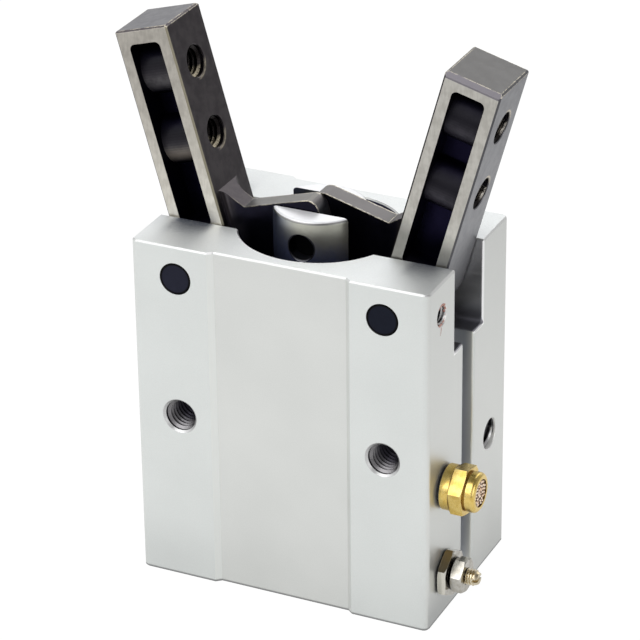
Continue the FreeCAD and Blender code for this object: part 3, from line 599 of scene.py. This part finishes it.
# Plain materials: the noise, two colours and the noise's span between them, gloss, metal share and relief
GRAINED = {
    "turned_aluminium": dict(
        noise=(1.0, 3.0, 0.6, (0.4, 0.4, 9.0)), tones=((0.52, 0.53, 0.535), (0.72, 0.73, 0.73)),
        gloss=(0.22, 0.38), metallic=0.9, relief=(0.15, 0.02),
    ),
    "spring_steel": dict(
        noise=(1.6, 4.0, 0.6), tones=((0.20, 0.205, 0.22), (0.42, 0.43, 0.45)),
        gloss=(0.25, 0.42), metallic=0.95, relief=(0.1, 0.02),
    ),
    "seal_rubber": dict(
        noise=(3.0, 4.0, 0.65), tones=((0.012, 0.012, 0.013), (0.045, 0.045, 0.046)), span=(0.4, 0.75),
        gloss=(0.55, 0.72), metallic=0.0, relief=(0.15, 0.02),
    ),
    "magnet_compound": dict(
        noise=(4.0, 4.0, 0.7), tones=((0.030, 0.030, 0.033), (0.075, 0.075, 0.08)),
        gloss=(0.5, 0.65), metallic=0.1, relief=(0.15, 0.02),
    ),
    "bush_bronze": dict(
        noise=(1.0, 3.0, 0.6, (0.5, 0.5, 7.0)), tones=((0.36, 0.22, 0.11), (0.55, 0.37, 0.20)),
        gloss=(0.25, 0.42), metallic=0.95, relief=(0.12, 0.02),
    ),
    "thread_lock": dict(  # dried thread-locking compound, dull pinkish red with pale crumbs
        noise=(2.4, 4.0, 0.65), tones=((0.36, 0.10, 0.075), (0.66, 0.42, 0.36)), span=(0.35, 0.65),
        gloss=(0.32, 0.55), metallic=0.0, relief=(0.3, 0.05),
    ),
}


def grained(name, noise, tones, gloss, metallic, relief, span=None):
    """A material whose colour, gloss and relief all follow one noise."""
    g = Surface(name)
    grain = g.noise(*noise)
    base = g.mix(g.ramp(grain, *span) if span else grain, *tones)
    return g.finish(base, g.gloss(grain, *gloss), metallic, g.bump(grain, *relief))


BRASS = (0.80, 0.60, 0.20), (0.66, 0.455, 0.11)
BRASS_EDGE, BRASS_HOLLOW_SHADE, BRASS_CREASE_SHADE = (0.96, 0.82, 0.46), (0.16, 0.075, 0.015), (0.16, 0.085, 0.02)
SILENCER_SEAM_X = SIDE_X + 1.95  # between the collar and the hexagon


def polished_brass():
    """Bright brass, a little tarnished, with painted shade in the hollows and a painted shade line at the seam
    before the hexagon.
    """
    g = Surface("polished_brass")
    grit = g.noise(5.0, 3.0, 0.6)
    base = g.mix(g.ramp(g.noise(0.8, 4.0, 0.6), 0.35, 0.7), *BRASS)
    base = g.mix(g.both(g.edges(0.25, 0.03, 0.3), 0.5), base, BRASS_EDGE)
    base = g.mix(g.fall(g.openness(0.7), 0.25, 0.60, 0.6), base, BRASS_HOLLOW_SHADE)
    from_seam = g.absolute(g.minus(g.x, SILENCER_SEAM_X))
    base = g.mix(g.fall(from_seam, 0.05, 0.17, 0.8), base, BRASS_CREASE_SHADE)
    turning = g.noise(1.0, 3.0, 0.6, (9.0, 0.5, 0.5))
    return g.finish(base, g.gloss(g.mixed(0.5, turning, grit), 0.16, 0.32), 1.0, g.bump(grit, 0.12, 0.02))


SINTERED = (0.90, 0.63, 0.43), (1.0, 0.88, 0.73)
SINTERED_GAP_SHADE = (0.085, 0.020, 0.010)


def sintered_bronze():
    g = Surface("sintered_bronze")
    grain = g.noise(1.6, 4.0, 0.7)
    base = g.mix(g.ramp(grain, 0.35, 0.65), *SINTERED)
    # painted shade in the gaps between the grains
    base = g.mix(g.ramp(g.openness(0.9), 0.40, 0.80), SINTERED_GAP_SHADE, base)
    return g.finish(base, g.gloss(grain, 0.20, 0.34), 0.9, g.bump(grain, 0.2, 0.04))


HEXAGON_UPPER_SHADE, HEXAGON_UNDER_SHADE = (0.235, 0.195, 0.130), (0.24, 0.185, 0.165)
HEXAGON_LEVEL_LIGHT = (0.74, 0.715, 0.635)
NICKEL_EDGE, NICKEL_HOLLOW_SHADE, NICKEL_GAP_SHADE = (0.82, 0.81, 0.77), (0.012, 0.010, 0.010), (0.010, 0.008, 0.009)
THROTTLE_HEX_END_X, THROTTLE_GAP_X = SIDE_X + 1.75, SIDE_X + 1.80


def nickel(name, clean, stained):
    """Bright plated turned parts: on the hexagon by the block, the upper and lower faces painted darker and
    the front face lighter as painted light and shade, with painted black shade in the hollows and in the gaps
    between the parts.
    """
    g = Surface(name)
    _, ny, nz = g.split(g.normal())
    turning = g.noise(1.0, 3.0, 0.6, (9.0, 0.6, 0.6))
    base = g.mix(g.ramp(g.noise(0.7, 4.0, 0.6), 0.35, 0.7), clean, stained)
    by_block = g.below(g.x, THROTTLE_HEX_END_X)
    # hexagon faces painted by which way they face, as painted light and shade
    upper = g.both(by_block, g.ramp(nz, 0.25, 0.5), g.fall(ny, -0.5, -0.25))
    base = g.mix(upper, base, HEXAGON_UPPER_SHADE)
    level = g.both(by_block, g.band(nz, -0.45, -0.25, 0.2, 0.3), g.fall(ny, -0.9, -0.7))
    base = g.mix(level, base, HEXAGON_LEVEL_LIGHT)
    base = g.mix(g.both(by_block, g.fall(nz, -0.8, -0.45, 0.8)), base, HEXAGON_UNDER_SHADE)
    base = g.mix(g.both(g.edges(0.22, 0.03, 0.3), 0.5), base, NICKEL_EDGE)
    base = g.mix(g.fall(g.openness(0.4), 0.16, 0.42), base, NICKEL_HOLLOW_SHADE)
    # painted black shade in the gap between the hexagon and the nut
    gap = g.below(g.absolute(g.minus(g.x, THROTTLE_GAP_X)), 0.19)
    gap = g.both(gap, g.below(g.from_line(g.y, g.z, -PORT_Y, LOWER_PORT_Z), 2.58))
    base = g.mix(gap, base, NICKEL_GAP_SHADE)
    return g.finish(base, g.gloss(turning, 0.10, 0.20), 1.0, g.bump(turning, 0.10, 0.02))


def nickel_plate():
    return nickel("nickel_plate", (0.62, 0.60, 0.55), (0.44, 0.415, 0.36))


def aluminium_thread(name, dark, light, axis, mouth, reach):
    """Cut threads in the block along one axis: grey ridges painted light near the mouth that fade into painted
    shade deep in the hole.
    """
    g = Surface(name)
    fine = g.noise(1.5, 3.0, 0.6)
    depth = g.absolute(g.minus(g.absolute((g.x, g.y, g.z)[axis]), mouth))
    lit = g.both(g.ramp(depth, 0.6, reach, 1.0, 0.06), g.ramp(g.openness(2.0), 0.22, 0.60))
    base = g.mix(g.both(lit, g.ramp(fine, 0.2, 0.6, 0.75, 1.0)), dark, light)
    return g.finish(base, g.gloss(fine, 0.26, 0.36), 0.95, g.bump(fine, 0.05, 0.02))


THREAD_SHADE = (0.020, 0.017, 0.017)
PAINTED_GLINT_LEFT, PAINTED_GLINT_RIGHT = (0.86, 0.76, 0.56), (0.36, 0.335, 0.30)


def steel_thread():
    """Cut threads in the fingers: painted black shade, with painted glints by the pivot on the left, at the
    back on the right.
    """
    g = Surface("steel_thread")
    fine = g.noise(3.0, 3.0, 0.6)
    along, _ = leaning(g, g.minus(g.absolute(g.x), PIVOT_X), g.minus(g.z, PIVOT_Z))
    on_right = g.above(g.x, 0.0)
    lit = g.mixed(on_right, g.fall(from_cross_hole(g, along), -2.0, -1.1), g.ramp(g.y, 1.0, 2.0))
    lit = g.both(lit, g.ramp(g.openness(3.0), 0.10, 0.40), g.ramp(fine, 0.3, 0.55))
    base = g.mix(lit, THREAD_SHADE, g.mix(on_right, PAINTED_GLINT_LEFT, PAINTED_GLINT_RIGHT))
    return g.finish(base, g.gloss(fine, 0.22, 0.34), 0.95, g.bump(fine, 0.1, 0.02))


MATERIALS = {name: grained(name, **look) for name, look in GRAINED.items()}
MATERIALS |= {
    make.__name__: make()
    for make in (
        anodised_aluminium, finger_steel, dark_steel, rod_steel,
        polished_brass, sintered_bronze, nickel_plate,
    )
}
# dark and light ends of the block threads: painted shade deep in the hole, painted light near the mouth
DEEP_THREAD_SHADE_TONES = (0.012, 0.011, 0.018), (0.22, 0.215, 0.22)
SIDE_TONES = (0.012, 0.011, 0.017), (0.66, 0.66, 0.655)
FACE_THREAD = aluminium_thread("face_thread", *DEEP_THREAD_SHADE_TONES, axis=1, mouth=FACE_Y, reach=4.6)
BASE_THREAD = aluminium_thread("base_thread", *DEEP_THREAD_SHADE_TONES, axis=2, mouth=0.0, reach=4.6)
SIDE_THREAD = aluminium_thread("side_thread", *SIDE_TONES, axis=0, mouth=SIDE_X, reach=1.6)
STEEL_THREAD = steel_thread()
NEEDLE = nickel("brassy_nickel", (0.78, 0.70, 0.52), (0.58, 0.48, 0.30))


def dress_solids():
    for part in frame["record"]["subparts"]:
        mesh = NODES[part["node"]].data
        mesh.materials.clear()
        mesh.materials.append(MATERIALS[part["material_slot"]])


def linked(name, data):
    made = bpy.data.objects.new(name, data)
    bpy.context.scene.collection.objects.link(made)
    return made


def piece(mesh, body):
    """A new object of this mesh that rides on a body."""
    made = linked(mesh.name, mesh)
    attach(made, body)
    return made


def flat_mesh(name, vertices, faces, material):
    """A mesh with flat faces from points in millimetres."""
    mesh = bpy.data.meshes.new(name)
    mesh.from_pydata([Vector(v) * MM for v in vertices], [], faces)
    mesh.validate()
    mesh.polygons.foreach_set("use_smooth", [False] * len(mesh.polygons))
    mesh.materials.append(material)
    return mesh


def side_axes(axis):
    axis = Vector(axis).normalized()
    helper = Vector((0, 0, 1)) if abs(axis.z) < 0.9 else Vector((1, 0, 0))
    first = axis.cross(helper).normalized()
    return axis, first, axis.cross(first)


def inner_thread(name, mouth, inwards, size, start, end, material):
    """A helical ridge that stands inwards from a plain bore's wall, between two depths under the mouth."""
    radius, pitch = size
    axis, first, second = side_axes(inwards)
    steps, growing = 40, 8  # steps of a turn, and those in which the ridge grows at each end
    depth, half_root, half_crest = 0.54 * pitch, 0.42 * pitch, 0.07 * pitch
    count = int((end - start - 0.7 * pitch) / pitch * steps)
    vertices, faces = [], []
    for index in range(count + 1):
        angle = 2 * math.pi * index / steps
        along = start + 0.35 * pitch + pitch * index / steps
        grow = min(1.0, index / growing, (count - index) / growing)
        outward = first * math.cos(angle) + second * math.sin(angle)
        root, crest = radius - 0.01, radius - 0.02 - depth * grow
        profile = (root, -half_root), (crest, -half_crest), (crest, half_crest), (root, half_root)
        for reach, shift in profile:
            vertices.append(Vector(mouth) + outward * reach + axis * (along + shift))
        if index:
            low = 4 * (index - 1)
            for corner in range(4):
                following = (corner + 1) % 4
                faces.append((low + corner, low + following, low + 4 + following, low + 4 + corner))
    faces.append((0, 3, 2, 1))
    last = 4 * count
    faces.append((last, last + 1, last + 2, last + 3))
    return flat_mesh(name, vertices, faces, material)


def block_thread(*thread):
    piece(inner_thread(*thread), "housing")


def threads():
    for side, word in ((-1, "left"), (1, "right")):
        for face, end in ((-1, "front"), (1, "back")):
            mouth = (side * FACE_HOLE_X, face * FACE_Y, FACE_HOLE_Z)
            block_thread(f"{word}_{end}_thread", mouth, (0, -face, 0), M5, 0.45, 7.8, FACE_THREAD)
        mouth = (side * BASE_HOLE_X, 0, 0)
        block_thread(f"{word}_base_thread", mouth, (0, 0, 1), M4, 0.3, 7.8, BASE_THREAD)
        mouth = (side * SIDE_X, -WALL_Y, PIVOT_Z)
        block_thread(f"{word}_set_screw_thread", mouth, (-side, 0, 0), M3, 0.1, 1.15, SIDE_THREAD)
        inwards = Vector((-side * math.cos(LEAN), 0, math.sin(LEAN)))
        for height, place in zip(FINGER_HOLES, ("lower", "upper")):
            out, up = PIVOT_X + height * math.sin(LEAN), PIVOT_Z + height * math.cos(LEAN)
            mouth = Vector((side * out, 0, up)) - inwards * FINGER_SIDE
            name = f"{word}_finger_{place}_thread"
            ridge = inner_thread(name, mouth, inwards, M5, 0.2, 8.9, STEEL_THREAD)
            piece(ridge, f"{word}_finger")
    mouth = (SIDE_X, PORT_Y, UPPER_PORT_Z)
    block_thread("air_port_thread", mouth, (-1, 0, 0), M5, 0.6, 5.8, SIDE_THREAD)


def add_bead(bm, centre, radius, squash=(1, 1, 1)):
    """An uneven small ball."""
    made = bmesh.ops.create_icosphere(bm, subdivisions=2, radius=radius)
    for vertex in made["verts"]:
        wobble = 1.0 + 0.10 * math.sin(37 * vertex.co.x / radius + 11 * vertex.co.y / radius)
        vertex.co = Vector([c * s * wobble for c, s in zip(vertex.co, squash)]) + Vector(centre)


def bead_mesh(name, bm, material):
    """A smooth mesh of the beads, from millimetres to metres."""
    for vertex in bm.verts:
        vertex.co *= MM
    mesh = bpy.data.meshes.new(name)
    bm.to_mesh(mesh)
    bm.free()
    mesh.polygons.foreach_set("use_smooth", [True] * len(mesh.polygons))
    mesh.materials.append(material)
    return mesh


def sintered_grains():
    """Bronze grains over the silencer insert's end, set a little under the rolled rim."""
    face = SIDE_X + SILENCER_LENGTH - INSERT_SETBACK
    tries, apart = 4000, 0.50
    spots = []
    for _ in range(tries):
        radius = INSERT_RADIUS * math.sqrt(RNG.random()) * 0.9
        angle = 2 * math.pi * RNG.random()
        spot = Vector((radius * math.cos(angle), radius * math.sin(angle)))
        if all((spot - other).length > apart for other in spots):
            spots.append(spot)
    bm = bmesh.new()
    for spot in spots:
        size = 0.23 + 0.09 * RNG.random()
        rise = 0.02 + 0.12 * RNG.random()
        add_bead(bm, (face - size * 0.4 + rise, -PORT_Y + spot.x, UPPER_PORT_Z + spot.y), size)
    mesh = bead_mesh("sintered_grains", bm, MATERIALS["sintered_bronze"])
    piece(mesh, "housing")


def lock_residue():
    """Crumbs of thread lock round the right set screw's hole, with a short run below it."""
    crumbs, drops = 26, 7
    bm = bmesh.new()
    for index in range(crumbs):
        angle = math.radians(-115 + 9.5 * index + 6 * RNG.random())
        reach = 1.52 + 0.20 * RNG.random()
        size = 0.12 + 0.12 * RNG.random()
        x = SIDE_X - 0.12 - 0.25 * RNG.random()
        y, z = -WALL_Y + reach * math.cos(angle), PIVOT_Z + reach * math.sin(angle)
        add_bead(bm, (x, y, z), size, (1.0, 0.9, 0.9))
    for index in range(drops):
        share = index / (drops - 1)
        y, z = -WALL_Y - 0.25 - 0.30 * share * share, PIVOT_Z - 2.0 - 1.0 * share
        add_bead(bm, (SIDE_X + 0.005, y, z), 0.11 - 0.05 * share, (0.35, 0.8, 1.5))
    mesh = bead_mesh("thread_lock_residue", bm, MATERIALS["thread_lock"])
    piece(mesh, "housing")


# The throttle needle: radii, and places along its axis from the block's side face
NEEDLE_TIP, NEEDLE_ROOT, NEEDLE_CREST, NEEDLE_PITCH = 0.4, 1.03, 1.295, 0.45
NEEDLE_INNER, NEEDLE_TAPER_END, NEEDLE_THREAD_FROM, NEEDLE_END = -6.0, -3.6, -2.8, 5.8
NEEDLE_CHAMFER = 0.36
NEEDLE_SLOT = 1.4, 3.0, 0.5  # the cutter's sides; half of the first is the slot's depth


def needle_radius(station, angle):
    if station <= NEEDLE_TAPER_END:
        share = (station - NEEDLE_INNER) / (NEEDLE_TAPER_END - NEEDLE_INNER)
        return NEEDLE_TIP + (NEEDLE_ROOT - NEEDLE_TIP) * share
    if station == NEEDLE_END:
        return NEEDLE_ROOT - 0.12
    phase = (station / NEEDLE_PITCH - angle / (2 * math.pi)) % 1.0
    height = min(1.0, max(0.0, 1.35 - 4.2 * abs(phase - 0.5)))
    growing, fading = (station - NEEDLE_THREAD_FROM) / 0.4, (NEEDLE_END - 0.3 - station) / 0.25
    return NEEDLE_ROOT + (NEEDLE_CREST - NEEDLE_ROOT) * height * max(0.0, min(1.0, growing, fading))


def needle():
    """The throttle needle with its real thread, and its screwdriver slot cut in."""
    around, coarse, fine = 48, 0.4, 0.0375
    stations = []
    place = NEEDLE_INNER
    while place < NEEDLE_END - NEEDLE_CHAMFER:
        stations.append(place)
        place += coarse if place < NEEDLE_TAPER_END - coarse else fine
    stations += [NEEDLE_END - NEEDLE_CHAMFER, NEEDLE_END]
    vertices, faces = [], []
    for station in stations:
        for step in range(around):
            angle = 2 * math.pi * step / around
            radius = needle_radius(station, angle)
            y, z = -PORT_Y + radius * math.cos(angle), LOWER_PORT_Z + radius * math.sin(angle)
            vertices.append((SIDE_X + station, y, z))
    last = (len(stations) - 1) * around
    for row in range(0, last, around):
        for step in range(around):
            a, b = row + step, row + (step + 1) % around
            faces.append((a, b, b + around, a + around))
    faces.append(tuple(reversed(range(around))))
    faces.append(tuple(range(last, last + around)))
    made = piece(flat_mesh("threaded_needle", vertices, faces, NEEDLE), "throttle_needle")
    cut_slot(made, (SIDE_X + NEEDLE_END, -PORT_Y, LOWER_PORT_Z), NEEDLE_SLOT)
    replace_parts(made, "throttle_needle")


def cut_slot(made, centre, sides):
    """Cuts a box out of an object's mesh."""
    bm = bmesh.new()
    bmesh.ops.create_cube(bm, size=1.0)
    for vertex in bm.verts:
        vertex.co = Vector([c + v * s for c, v, s in zip(centre, vertex.co, sides)]) * MM
    mesh = bpy.data.meshes.new("slot_cutter")
    bm.to_mesh(mesh)
    bm.free()
    cutter = linked("slot_cutter", mesh)
    cut = made.modifiers.new("slot", "BOOLEAN")
    cut.object = cutter
    cut.operation = "DIFFERENCE"
    cut.solver = "EXACT"
    bpy.context.view_layer.update()
    graph = bpy.context.evaluated_depsgraph_get()
    result = bpy.data.meshes.new_from_object(made.evaluated_get(graph))
    result.polygons.foreach_set("use_smooth", [False] * len(result.polygons))
    made.modifiers.clear()
    made.data = result
    bpy.data.objects.remove(cutter)


def rounded_rod():
    """The piston rod with a finer rounded edge round its slotted head."""
    coarse, fine, near = 1.3, 0.6, 0.01
    mesh = NODES["piston_rod"].data.copy()
    mesh.name = "rounded_rod"
    normals = [corner.vector.copy() for corner in mesh.corner_normals]
    on_top = [vertex.co for vertex in mesh.vertices if vertex.co.z > (ROD_TOP_Z - near) * MM]
    slot_wall = min(abs(co.y) for co in on_top) / MM
    for vertex in mesh.vertices:
        x, y, z = vertex.co / MM
        reach = math.hypot(x, y)
        up, out = z - ROD_TOP_Z + coarse, reach - ROD_RADIUS + coarse
        if up < -near or out < -near:
            continue
        turn = math.atan2(max(0.0, up), max(0.0, out))
        finer = ROD_RADIUS - fine + fine * math.cos(turn)
        if abs(abs(y) - slot_wall) < near:
            x = math.copysign(math.sqrt(finer * finer - y * y), x)
        else:
            x, y = x * finer / reach, y * finer / reach
        vertex.co = Vector((x, y, ROD_TOP_Z - fine + fine * math.sin(turn))) * MM
    mesh.normals_split_custom_set(normals)
    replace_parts(piece(mesh, "piston"), "piston_rod")


def squeezed_spring():
    """The return spring, seated in the end cap: a copy of its mesh that rides on the housing in place of the
    imported one.
    """
    mesh = NODES["return_spring"].data.copy()
    mesh.name = "squeezed_spring"
    made = piece(mesh, "housing")
    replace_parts(made, "return_spring")
    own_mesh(made)


def studio():
    """White floor and world, with one large key lamp, a fill and a back lamp."""
    reach = 3.0
    corners = [(-reach, -reach, 0), (reach, -reach, 0), (reach, reach, 0), (-reach, reach, 0)]
    mesh = bpy.data.meshes.new("floor")
    mesh.from_pydata(corners, [], [(0, 1, 2, 3)])
    mesh.materials.append(floor_white())
    linked("floor", mesh)
    soft_world()
    lamp("key", (-0.45, -0.75, 0.85), 1.15, 8.0)
    lamp("fill", (0.95, -0.35, 0.30), 0.8, 2.6)
    lamp("back", (-0.15, 0.70, 0.80), 0.8, 2.0)


def floor_white():
    """White to the camera; in reflections the floor is shaded under the part and fades further away."""
    material = bpy.data.materials.new("floor_white")
    g = Graph(material)
    x, y, _ = g.split(g.new("ShaderNodeTexCoord").outputs["Object"])
    path = g.new("ShaderNodeLightPath").outputs
    beside = g.length(
        g.either(g.minus(g.absolute(x), SIDE_X * MM), 0.0),
        g.either(g.minus(g.absolute(y), FACE_Y * MM), 0.0),
    )
    near = g.ramp(beside, 0.0, 0.03, 0.74, 1.0)
    far = g.ramp(g.length(g.plus(x, 0.05), g.plus(y, 0.06)), 0.14, 0.45, 1.0, 0.14)
    glow = g.new("ShaderNodeEmission")
    g.put(glow, "Strength", g.either(g.both(path["Is Camera Ray"], 1.05), g.both(near, far)))
    diffuse = g.new("ShaderNodeBsdfDiffuse")
    g.put(diffuse, "Color", (0.9, 0.9, 0.9, 1))
    mirrored = g.either(path["Is Glossy Ray"], path["Is Transmission Ray"])
    g.show_mix(g.either(g.both(path["Is Camera Ray"], 0.93), g.both(mirrored, 0.75)), diffuse, glow)
    return material


def soft_world():
    """White to the camera; it lights the part more from low down and from the left."""
    world = bpy.data.worlds.new("studio")
    bpy.context.scene.world = world
    g = Graph(world, "ShaderNodeOutputWorld")
    x, _, z = g.split(g.new("ShaderNodeTexCoord").outputs["Generated"])
    by_height = g.new("ShaderNodeValToRGB")
    stops = (0.0, 0.95), (0.18, 1.12), (0.45, 0.92), (0.62, 0.72), (0.8, 0.42), (1.0, 0.30)
    while len(by_height.color_ramp.elements) < len(stops):
        by_height.color_ramp.elements.new(0.5)
    for element, (height, level) in zip(by_height.color_ramp.elements, stops):
        element.position = height
        element.color = (level, level, level * 1.01, 1)
    g.put(by_height, 0, z)
    soft = g.new("ShaderNodeBackground")
    g.put(soft, "Color", by_height.outputs[0])
    g.put(soft, "Strength", g.ramp(x, -0.1, 0.8, 1.0, 0.4))
    white = g.new("ShaderNodeBackground")
    g.put(white, "Color", (*WHITE, 1))
    g.show_mix(g.new("ShaderNodeLightPath").outputs["Is Camera Ray"], soft, white)


def lamp(name, place, size, power):
    data = bpy.data.lights.new(name, "AREA")
    data.shape = "SQUARE"
    data.size = size
    data.energy = power
    made = linked(name, data)
    made.location = place
    aim = Vector((0, 0, 0.04)) - Vector(place)
    made.rotation_euler = aim.to_track_quat("-Z", "Y").to_euler()


def camera():
    """The photograph's viewpoint: azimuth 25 degrees, elevation 27 degrees, a long lens."""
    data = bpy.data.cameras.new("camera")
    data.sensor_width = 36.0
    data.lens = 177.773
    made = linked("camera", data)
    right = Vector((0.906179, 0.422754, -0.010919))
    down = Vector((0.181191, -0.411456, -0.893238))
    ahead = Vector((-0.382113, 0.807454, -0.449452))
    turn = Matrix((right, -down, -ahead)).transposed().to_4x4()
    made.matrix_world = Matrix.Translation((0.184988, -0.391560, 0.259179)) @ turn
    bpy.context.scene.camera = made


dress_solids()
threads()
sintered_grains()
lock_residue()
needle()
rounded_rod()
squeezed_spring()
studio()
camera()
bpy.context.scene.view_settings.view_transform = "Standard"
